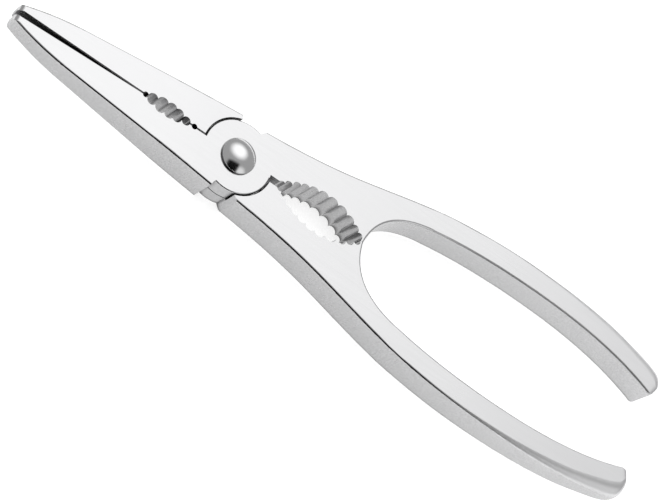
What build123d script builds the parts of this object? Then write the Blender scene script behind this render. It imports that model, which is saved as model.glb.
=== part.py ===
from build123d import *
import math
import os

# A lobster cracker: two cast steel arms, lapped at half thickness and held by one domed rivet.
# Both arms are the same casting. The lower one is the upper one turned over about the X axis.
# Millimetres. The origin is the rivet's axis on the plane the tool lies on, with +Z up.
# The jaws point along -X and the handles along +X. The upper arm's jaw is at -Y, its handle at +Y.

# ---- driving dimensions -------------------------------------------------------------------------
thickness = 9.2          # of the arms, all over except at the jaws
boss_radius = 9.7        # round boss that carries the rivet
boss_gap = 0.5           # between one arm's boss and the other arm's shoulders
lap_gap = 0.3            # between the two half-thickness bosses
meeting_gap = 0.04       # between each arm and the middle plane, where the closed arms meet
edge_finding_room = 1.3  # how far inside its outer line an edge still counts as the jaw's outer edge
edge_round = 0.6         # rounding along the arms' long edges
inner_round = 0.3        # along the jaws' inner edges and around the boss's outer face
shoulder_radius = boss_radius + boss_gap

# Jaws
jaw_length = 64.7        # from the rivet to the tip
jaw_root_half = 11.4     # the outer edge's line, produced back to the rivet
jaw_slope = 0.11         # how fast the outer edge runs in
jaw_bend_x = -48.0       # from here the outer edge curves in to the tip
jaw_tip_half = 2.3       # the outer edge, at the tip
jaw_gap_x = -30.0        # from here to the tip the inner edge leaves the middle plane
jaw_tip_gap = 0.7        # and this is how far it gets
jaw_end_angle = -107.0   # where the jaw stops beside the other arm's boss
jaw_taper_x = -16.0      # from here to the tip the jaws also get thinner
jaw_taper = 0.0403       # thickness lost on each face, for each mm along the jaw
jaw_taper_blend = 300.0  # radius of the gentle curve where the thinning begins
tip_corner = 1.2         # rounding of the tip's outer corner, seen from above
nose_round = 1.7         # rounding of the tip, seen from the side

# Handles, seen from above, on the +Y side
shoulder_angle = 71.0    # where the handle starts beside the boss
handle_root = (4.6, 10.85)
handle_waist = (30.0, 14.75)
handle_crown = (90.0, 24.3)
handle_end = (136.0, 18.7)
stop_x = (38.8, 39.6)    # the closed handles touch over this length
bight_pulls = (40.6, 8.6), (46.5, 13.0)
palm = (88.0, 17.4)
palm_end = (132.7, 11.2)
grip_outer_start = (55.4, 20.9)
grip_inner_start = (56.6, 14.75)
soft_start = 0.3         # the outer edges get rounder from this share of the grip to its end
soft_power = 1.5         # slowly at first
soft_round = 4.0         # and reach this radius there
soft_limit = 0.6         # but never more than this share of the grip's width
grip_inner_round = 0.55  # rounding of the grip's inner edges
end_outer_corner = 3.8   # rounding of the grip's end, seen from above
end_inner_corner = 1.4
end_face_round = 1.0     # and seen from the side
grip_spans = 9           # the grip is lofted through this many equal spans
end_angles = (0, 20, 40, 58, 72)    # and through these points of its end's rounding

# Toothed openings: rows of round flutes whose roots follow a parabola on each side of the deepest
front_teeth = {"first": -27.8, "pitches": [2.0, 2.7, 2.6, 2.2, 2.4, 2.5], "deepest_x": -21.8,
               "depth": 2.25, "least": 0.75, "before": 7.4, "after": 8.6, "ends": (-28.4, -12.3)}
rear_teeth = {"first": 13.4, "pitches": [1.7, 2.2, 2.2, 2.4, 2.8, 2.9, 3.1, 2.9, 2.3, 1.8],
              "deepest_x": 26.6, "depth": 6.0, "least": 0.8, "before": 15.2, "after": 13.1,
              "ends": (12.0, 38.8)}
flute_share = 0.57       # a flute's radius, as a share of its pitch
slot_end_x = 12.6        # a narrow slot runs from the boss to the rear teeth
slot_half = 0.95

# Rivet
shank_radius = 2.75
shank_clearance = 0.05
head_radius = 4.7
head_height = 2.3
head_rim = 0.6           # upright edge below the dome
head_rim_round = 0.35
head_lift = 0.03         # between the head and the upper arm, so that the arm turns
tail_radius = 4.2        # the lower end is spread into a countersink, flush with the arm
tail_depth = 1.45


def radial(angle, radius):
    return (radius * math.cos(math.radians(angle)), radius * math.sin(math.radians(angle)))


def turned_over(shape):
    """The same casting, turned over about the X axis through the middle of its thickness."""
    return Pos(0, 0, thickness) * Rot(180, 0, 0) * shape


# ---- outlines, seen from above ------------------------------------------------------------------
def toothed_half(teeth):
    """The half of a toothed opening that one arm has, from the middle plane to its flutes, at +Y."""
    pitches = teeth["pitches"]
    centres, flutes = [], []
    x = teeth["first"]
    for number in range(len(pitches) + 1):
        beside = pitches[max(number - 1, 0):number + 1]
        radius = flute_share * sum(beside) / len(beside)
        reach = teeth["before"] if x < teeth["deepest_x"] else teeth["after"]
        root = teeth["depth"] * (1 - ((x - teeth["deepest_x"]) / reach) ** 2)
        root = max(root, teeth["least"])
        radius = min(radius, root)
        centres.append((x, root - radius))
        flutes.append(Pos(*centres[-1]) * Circle(radius))
        x += pitches[min(number, len(pitches) - 1)]
    start, end = teeth["ends"]
    web = make_face(Polyline((start, 0), *centres, (end, 0), (end, -1), (start, -1), close=True))
    return web + flutes


def jaw_plan():
    """The upper arm's jaw, at -Y: straight and then curved outside, straight inside."""
    def outer_y(x):
        return -jaw_root_half - jaw_slope * x
    corner = radial(jaw_end_angle, shoulder_radius)
    root = (corner[0] * jaw_root_half / shoulder_radius, outer_y(corner[0]))
    outer = Line(root, (jaw_bend_x, outer_y(jaw_bend_x)))
    bend = TangentArc(outer @ 1, (-jaw_length, -jaw_tip_half), tangent=outer % 1)
    rest = Polyline(bend @ 1, (-jaw_length, -jaw_tip_gap), (jaw_gap_x, -meeting_gap),
                    (0, -meeting_gap), (0, -boss_radius / 2), corner, root)
    plan = make_face([outer, bend, rest])
    tip = plan.vertices().sort_by_distance(bend @ 1)[0]
    return fillet(tip, tip_corner)


def grip_edges():
    """The outer and inner edges of the soft-edged grip."""
    outer = Spline(grip_outer_start, handle_crown, handle_end, tangents=[(1, 0.205), (1, -0.37)])
    inner = Spline(grip_inner_start, palm, palm_end, tangents=[(1, 0.173), (1, -0.38)])
    return outer, inner


def root_plan():
    """The upper arm's handle at +Y, from the boss to where its grip begins."""
    grip_start = grip_edges()[0] % 0
    outer = Spline(handle_root, handle_waist, grip_outer_start, tangents=[(1, 0.1), grip_start])
    bight = Bezier((stop_x[1], meeting_gap), *bight_pulls, grip_inner_start)
    across = Line(grip_outer_start, grip_inner_start)
    rest = Polyline((stop_x[1], meeting_gap), (0, meeting_gap), (0, boss_radius / 2),
                    radial(shoulder_angle, shoulder_radius), handle_root)
    return make_face([outer, across, bight, rest])


def openings_plan():
    """What is cut from the arm's inner side: front teeth at -Y, then a slot and rear teeth at +Y."""
    slot = Rectangle(slot_end_x, slot_half, align=(Align.MIN, Align.MIN))
    slot -= Circle(boss_radius)
    return [Rot(180, 0, 0) * toothed_half(front_teeth), slot, toothed_half(rear_teeth)]


# ---- solids -------------------------------------------------------------------------------------
def corner_inset(distance, radius):
    """How far a rounded corner pulls a side in, at a distance from the end."""
    short = max(radius - distance, 0)
    return radius - math.sqrt(radius ** 2 - short ** 2)


def grip_section(share):
    """The grip's section at a share of its length: a bar with round corners, softer outside."""
    edge_outer, edge_inner = grip_edges()
    outside, inside = edge_outer @ share, edge_inner @ share
    across = outside - inside
    left = (1 - share) * edge_outer.length
    near = corner_inset(left, end_inner_corner)
    far = across.length - corner_inset(left, end_outer_corner)
    height = thickness - 2 * corner_inset(left, end_face_round)
    softness = max(share - soft_start, 0) / (1 - soft_start)
    soft = edge_round + (soft_round - edge_round) * softness ** soft_power
    section = Pos((near + far) / 2, 0) * Rectangle(far - near, height)
    ends = section.vertices().group_by(Axis.X)
    section = fillet(ends[1], min(soft, (far - near) * soft_limit))
    section = fillet(section.vertices().group_by(Axis.X)[0], grip_inner_round)
    plane = Plane(origin=(inside.X, inside.Y, thickness / 2), x_dir=across,
                  z_dir=Vector(across.Y, -across.X, 0))
    return plane * section


def grip():
    length = grip_edges()[0].length
    shares = [step / grip_spans for step in range(grip_spans)]
    shares += [1 - end_outer_corner * (1 - math.sin(math.radians(angle))) / length
               for angle in end_angles]
    return loft([grip_section(share) for share in shares])


def jaw_waste(nose=None):
    """What lies outside the jaw's side view, which gets thinner to the tip and may have a round nose."""
    low = jaw_taper * (jaw_length + jaw_taper_x)
    side = make_face(Polyline((0, 0), (jaw_taper_x, 0), (-jaw_length, low), (-jaw_length, thickness - low),
                              (jaw_taper_x, thickness), (0, thickness), close=True))
    bends = side.vertices().group_by(Axis.X)
    side = fillet(bends[1], jaw_taper_blend)
    if nose:
        side = fillet(side.vertices().group_by(Axis.X)[0], nose)
    block = Pos(0, thickness / 2) * Rectangle(jaw_length + 1, thickness + 2,
                                              align=(Align.MAX, Align.CENTER))
    return extrude(Plane.XZ * (block - side), 2 * boss_radius, both=True)


def bounds_a_face(edge):
    """True for the longer edges of the arm's upper and lower faces."""
    height = (edge @ 0.5).Z
    near_a_face = min(height, thickness - height) < jaw_taper * jaw_length
    return near_a_face and abs((edge % 0.5).Z) < 0.5 and edge.length > boss_radius / 2


def is_long_edge(edge):
    """True for the edges that a hand meets: outside the jaw, outside the handle and in its bight."""
    middle = edge @ 0.5
    beside_jaw = middle.X < 0 and middle.Y < edge_finding_room - jaw_root_half - jaw_slope * middle.X
    beside_handle = middle.X > handle_root[0] and middle.Y > handle_root[1]
    in_bight = middle.X > stop_x[1] and middle.Y > meeting_gap
    across_grip = min((edge @ 0).X, (edge @ 1).X) > grip_outer_start[0] - meeting_gap
    return bounds_a_face(edge) and not across_grip and (beside_jaw or beside_handle or in_bight)


def is_jaw_inner_edge(edge):
    """True for the straight edges where the two jaws meet."""
    middle = edge @ 0.5
    return bounds_a_face(edge) and middle.X < -boss_radius and -jaw_tip_gap < middle.Y < 0


def is_boss_edge(edge):
    """True for the boss's round edges on the arm's outer face."""
    if edge.geom_type != GeomType.CIRCLE:
        return False
    return (edge @ 0.5).Z > thickness - meeting_gap and abs(edge.radius - boss_radius) < meeting_gap


def arm_casting():
    """One arm as cast, placed as the upper one: full thickness but for its boss, which laps over."""
    plan = jaw_plan() + root_plan()
    boss = Circle(boss_radius) + (plan & Circle(shoulder_radius))
    arm = extrude(plan - Circle(shoulder_radius), thickness)
    lap_height = (thickness + lap_gap) / 2
    arm += Pos(0, 0, lap_height) * extrude(boss, thickness - lap_height)
    arm -= jaw_waste()
    arm = fillet(arm.edges().filter_by(is_long_edge), edge_round)
    inner_edges = arm.edges().filter_by(is_jaw_inner_edge) + arm.edges().filter_by(is_boss_edge)
    arm = fillet(inner_edges, inner_round)
    arm -= [extrude(opening, thickness, dir=(0, 0, 1)) for opening in openings_plan()]
    return arm - jaw_waste(nose_round) + grip()


def bore(radius):
    return extrude(Circle(radius), thickness)


def tail_countersink():
    return Cone(tail_radius, shank_radius, tail_depth, align=(Align.CENTER, Align.CENTER, Align.MIN))


def upper_arm(casting):
    """The upper arm turns on the rivet's shank."""
    return casting - bore(shank_radius + shank_clearance)


def lower_arm(casting):
    """The lower arm grips the rivet's shank and its spread tail."""
    return turned_over(casting) - bore(shank_radius) - tail_countersink()


def pivot_rivet():
    """Domed head over the upper arm, plain shank, tail spread flush with the lower arm."""
    seat = thickness + head_lift
    top = thickness + head_height
    side = Polyline((0, seat), (head_radius, seat), (head_radius, seat + head_rim))
    dome = TangentArc((0, top), side @ 1, tangent=(1, 0))
    head = make_face([side, dome, Line((0, top), (0, seat))])
    head = Plane.XZ * fillet(head.vertices().sort_by_distance(side @ 1)[0], head_rim_round)
    shank = Cylinder(shank_radius, seat, align=(Align.CENTER, Align.CENTER, Align.MIN))
    return revolve(head, Axis.Z) + shank + tail_countersink()


# ---- the parts ----------------------------------------------------------------------------------
os.makedirs("parts", exist_ok=True)
casting = arm_casting()
nodes = {"upper_arm": upper_arm(casting), "lower_arm": lower_arm(casting),
         "pivot_rivet": pivot_rivet()}
for name, solid in nodes.items():
    export_step(solid, f"parts/{name}.step")
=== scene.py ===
import math

import bpy
from mathutils import Matrix, Vector

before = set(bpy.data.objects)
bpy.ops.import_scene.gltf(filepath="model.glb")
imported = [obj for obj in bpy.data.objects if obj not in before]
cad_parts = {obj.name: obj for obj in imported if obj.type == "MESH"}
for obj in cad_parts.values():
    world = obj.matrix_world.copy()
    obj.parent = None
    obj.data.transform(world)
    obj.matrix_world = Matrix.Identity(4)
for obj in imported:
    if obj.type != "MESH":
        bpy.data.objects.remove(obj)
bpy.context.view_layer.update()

# ---- driving values, in metres and degrees ------------------------------------------------------
# Camera
view_azimuth = -33.13        # 0 looks along +Y and 90 along -X
view_elevation = 53.92
view_roll = 62.07            # how far the camera is turned about its own line of sight
view_distance = 0.6094
aim = Vector((0.03453, -0.00408, 0.0046))
lens = 131.43                # millimetres, as the sensor's width is
sensor_width = 36.0
near_clip = 0.01

# Floor: a lit white table
floor_size = 6.0
floor_drop = 0.00002
floor_white = (0.86, 0.86, 0.86, 1)
floor_rough = 0.8
floor_glow = 0.75

# The studio: a grey room with two soft round lights and a dark upright flag beside the camera.
# A light is the azimuth from +X towards +Y and the elevation of its middle, the angles from its middle
# where it begins to fade and where it is gone, all in degrees, and its brightness.
room_light = 0.45
soft_light = (85.0, 55.0, 4.0, 38.0, 1.58)
fill_light = (322.0, 32.0, 8.0, 30.0, 1.05)
flag_azimuth = 277.0
flag_half = (19.0, 29.0)     # degrees to each side where it begins to fade and where it is gone
flag_top = (0.12, 0.32)      # how far forward of the zenith it is gone and full, as a cosine
flag_light = 0.01

# The steel has fine polishing lines, faint clouds and cast pits. Scales are noise cells per metre.
line_scale = (60, 2600, 60)
line_turn = 8                # degrees about Z
line_rough = 0.12            # how much the lines vary the roughness
cloud_scale = 55.0
cloud_shade = 0.06           # how much the clouds vary the brightness
cloud_rough = 0.06           # and the roughness
pit_scale = 2300.0
relief_depth = 0.00003       # of the lines
pit_relief = 0.15            # the pits' depth beside the lines' on the upper and lower faces
pit_wall_relief = 1.5        # and how much deeper they are on the side walls

# Its side walls are rougher and have pits as cast, and their colour is painted darker as painted shade
wall_begin = 0.5             # a face turned this far up or down, as its normal's Z, begins to be a wall
wall_full = 0.15             # and this far, it is fully one
wall_painted_shade = 0.2              # how much darker its colour is painted, a painted shade
wall_pits = 0.5              # how much the pits vary that
wall_rough = 0.08            # how much rougher it is
# Painted shade: the steel's colour is darkened where other surfaces are near, in gaps, flutes and by
# the floor
painted_shade_reach = 0.002          # painted shade darkens a wall's colour where another surface is this near
painted_shade_brightness = 0.05           # how bright the steel's colour stays under the full painted shade
painted_shade_full_at = 0.25            # how open a wall is, at most, where the painted shade is full
painted_shade_clear_at = 0.95           # and at least, where there is no painted shade

# The polish gets duller along the handles, and there their colour is painted paler as painted light
satin_start = 0.055          # from this X
satin_end = 0.115            # to this one
satin_rough = 0.2            # by this much more roughness
satin_painted_light = 0.22            # and its colour is painted paler by this share, a painted light


# ---- node helpers -------------------------------------------------------------------------------
class Nodes:
    """Adds shader nodes to one tree. Each method but link returns the new node's output socket."""

    def __init__(self, tree):
        self.tree = tree

    def link(self, value, socket):
        self.tree.links.new(value, socket)

    def add(self, kind, inputs=(), output=0, **settings):
        node = self.tree.nodes.new(kind)
        for name, value in settings.items():
            setattr(node, name, value)
        for key, value in dict(inputs).items():
            if isinstance(value, bpy.types.NodeSocket):
                self.link(value, node.inputs[key])
            else:
                node.inputs[key].default_value = value
        return node.outputs[output]

    def math(self, operation, *values):
        return self.add("ShaderNodeMath", enumerate(values), operation=operation)

    def scale_and_add(self, value, scale, offset):
        return self.math("MULTIPLY_ADD", value, scale, offset)

    def dot(self, vector, other):
        return self.add("ShaderNodeVectorMath", {0: vector, 1: tuple(other)}, output=1,
                        operation="DOT_PRODUCT")

    def part(self, vector, axis):
        """One of a vector's three numbers."""
        return self.add("ShaderNodeSeparateXYZ", {0: vector}, output=axis)

    def ramp(self, value, low, high, to_low=0.0, to_high=1.0):
        """A smooth step from one number to another."""
        return self.add("ShaderNodeMapRange", {"Value": value, "From Min": low, "From Max": high,
                                               "To Min": to_low, "To Max": to_high},
                        interpolation_type="SMOOTHSTEP")

    def noise(self, place, scale, detail, roughness):
        return self.add("ShaderNodeTexNoise", {"Vector": place, "Scale": scale, "Detail": detail,
                                               "Roughness": roughness})

    def stretched(self, place, stretch, turn):
        """Coordinates scaled along each axis, and turned about Z by so many degrees."""
        return self.add("ShaderNodeMapping", {"Vector": place, "Scale": stretch,
                                              "Rotation": (0, 0, math.radians(turn))})


def new_material(name):
    material = bpy.data.materials.new(name)
    material.use_nodes = True
    return material, Nodes(material.node_tree), material.node_tree.nodes["Principled BSDF"].inputs


# ---- camera, floor and light --------------------------------------------------------------------
def direction(azimuth, elevation):
    """The unit vector at an azimuth from +X towards +Y, in degrees."""
    azimuth, elevation = math.radians(azimuth), math.radians(elevation)
    flat = math.cos(elevation)
    return Vector((math.cos(azimuth) * flat, math.sin(azimuth) * flat, math.sin(elevation)))


def add_camera():
    data = bpy.data.cameras.new("camera")
    data.lens = lens
    data.sensor_width = sensor_width
    data.clip_start = near_clip
    camera = bpy.data.objects.new("camera", data)
    bpy.context.scene.collection.objects.link(camera)
    look = direction(90 + view_azimuth, -view_elevation)
    turn = look.to_track_quat("-Z", "Y").to_matrix() @ Matrix.Rotation(math.radians(view_roll), 3, "Z")
    camera.matrix_world = Matrix.Translation(aim - look * view_distance) @ turn.to_4x4()
    bpy.context.scene.camera = camera


def add_floor():
    data = bpy.data.meshes.new("floor")
    half = floor_size / 2
    corners = [(x * half, y * half, -floor_drop) for x, y in ((-1, -1), (1, -1), (1, 1), (-1, 1))]
    data.from_pydata(corners, [], [(0, 1, 2, 3)])
    floor = bpy.data.objects.new("floor", data)
    bpy.context.scene.collection.objects.link(floor)
    material, _, inputs = new_material("floor_white")
    inputs["Base Color"].default_value = floor_white
    inputs["Roughness"].default_value = floor_rough
    inputs["Emission Color"].default_value = (1, 1, 1, 1)
    inputs["Emission Strength"].default_value = floor_glow
    data.materials.append(material)


def add_studio():
    world = bpy.data.worlds.new("studio")
    bpy.context.scene.world = world
    world.use_nodes = True
    nodes = Nodes(world.node_tree)
    way = nodes.add("ShaderNodeTexCoord")            # in a world, the first output is the direction
    light = room_light
    for azimuth, elevation, full, end, brightness in (soft_light, fill_light):
        light = nodes.ramp(nodes.dot(way, direction(azimuth, elevation)), math.cos(math.radians(end)),
                           math.cos(math.radians(full)), light, brightness)
    forward = nodes.dot(way, direction(flag_azimuth, 0))
    aside = nodes.math("ABSOLUTE", nodes.dot(way, direction(flag_azimuth + 90, 0)))
    full, end = (math.sin(math.radians(angle)) for angle in flag_half)
    flag = nodes.ramp(aside, full, end, nodes.ramp(forward, *flag_top, 1.0, flag_light), 1.0)
    background = world.node_tree.nodes["Background"].inputs
    background["Color"].default_value = (1, 1, 1, 1)
    nodes.link(nodes.math("MULTIPLY", light, flag), background["Strength"])


# ---- finishes -----------------------------------------------------------------------------------
def steel(name, tint, roughness, grain):
    """Polished cast steel, duller and painted paler along the handles, with pits and painted-dark walls
    and painted shade in crevices.
    """
    material, nodes, inputs = new_material(name)
    place = nodes.add("ShaderNodeTexCoord", output=3)           # the object's own coordinates
    facing = nodes.add("ShaderNodeNewGeometry", output=3)       # the true normal
    wall = nodes.ramp(nodes.math("ABSOLUTE", nodes.part(facing, 2)), wall_begin, wall_full)
    satin_and_painted_light = nodes.ramp(nodes.part(place, 0), satin_start, satin_end)
    lines = nodes.noise(nodes.stretched(place, line_scale, line_turn), 1.0, detail=3.0, roughness=0.6)
    clouds = nodes.noise(place, cloud_scale, detail=3.0, roughness=0.55)
    pits = nodes.noise(place, pit_scale, detail=2.0, roughness=0.6)

    face_shade = nodes.scale_and_add(clouds, cloud_shade, 1.0 - cloud_shade / 2)
    # The walls' colour: painted shade, with random tone from the pits
    pits_and_painted_shade = nodes.scale_and_add(pits, wall_pits, 1.0 - wall_painted_shade - wall_pits / 2)
    # Painted shade: the colour darkens where an occlusion test finds another surface near
    openness = nodes.add("ShaderNodeAmbientOcclusion", {"Distance": painted_shade_reach}, output=1)
    crevice_painted_shade = nodes.ramp(openness, painted_shade_full_at, painted_shade_clear_at, painted_shade_brightness, 1.0)
    wall_shade = nodes.math("MULTIPLY", pits_and_painted_shade, crevice_painted_shade)
    shade = nodes.scale_and_add(wall, nodes.math("SUBTRACT", wall_shade, face_shade), face_shade)
    # Painted light: the colour is made paler along the handles
    shade = nodes.math("MULTIPLY", shade, nodes.scale_and_add(satin_and_painted_light, satin_painted_light, 1.0))
    nodes.link(nodes.add("ShaderNodeVectorMath", {0: tint, 3: shade}, operation="SCALE"),
               inputs["Base Color"])
    inputs["Metallic"].default_value = 1.0

    rough = nodes.scale_and_add(clouds, cloud_rough, roughness - cloud_rough / 2)
    rough = nodes.scale_and_add(wall, wall_rough, rough)
    rough = nodes.scale_and_add(nodes.math("SUBTRACT", lines, 0.5), line_rough, rough)
    rough = nodes.scale_and_add(satin_and_painted_light, satin_rough, rough)
    nodes.link(rough, inputs["Roughness"])

    relief = nodes.scale_and_add(pits, nodes.scale_and_add(wall, pit_wall_relief, pit_relief), lines)
    nodes.link(nodes.add("ShaderNodeBump", {"Strength": grain, "Distance": relief_depth,
                                            "Height": relief}), inputs["Normal"])
    return material


def give(material, *names):
    for name in names:
        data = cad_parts[name].data
        data.materials.clear()
        data.materials.append(material)


add_camera()
add_floor()
add_studio()
give(steel("arm_steel", tint=(0.60, 0.60, 0.605), roughness=0.2, grain=0.2), "upper_arm", "lower_arm")
give(steel("rivet_steel", tint=(0.68, 0.68, 0.685), roughness=0.15, grain=0.08), "pivot_rivet")
bpy.context.scene.view_settings.view_transform = "Standard"
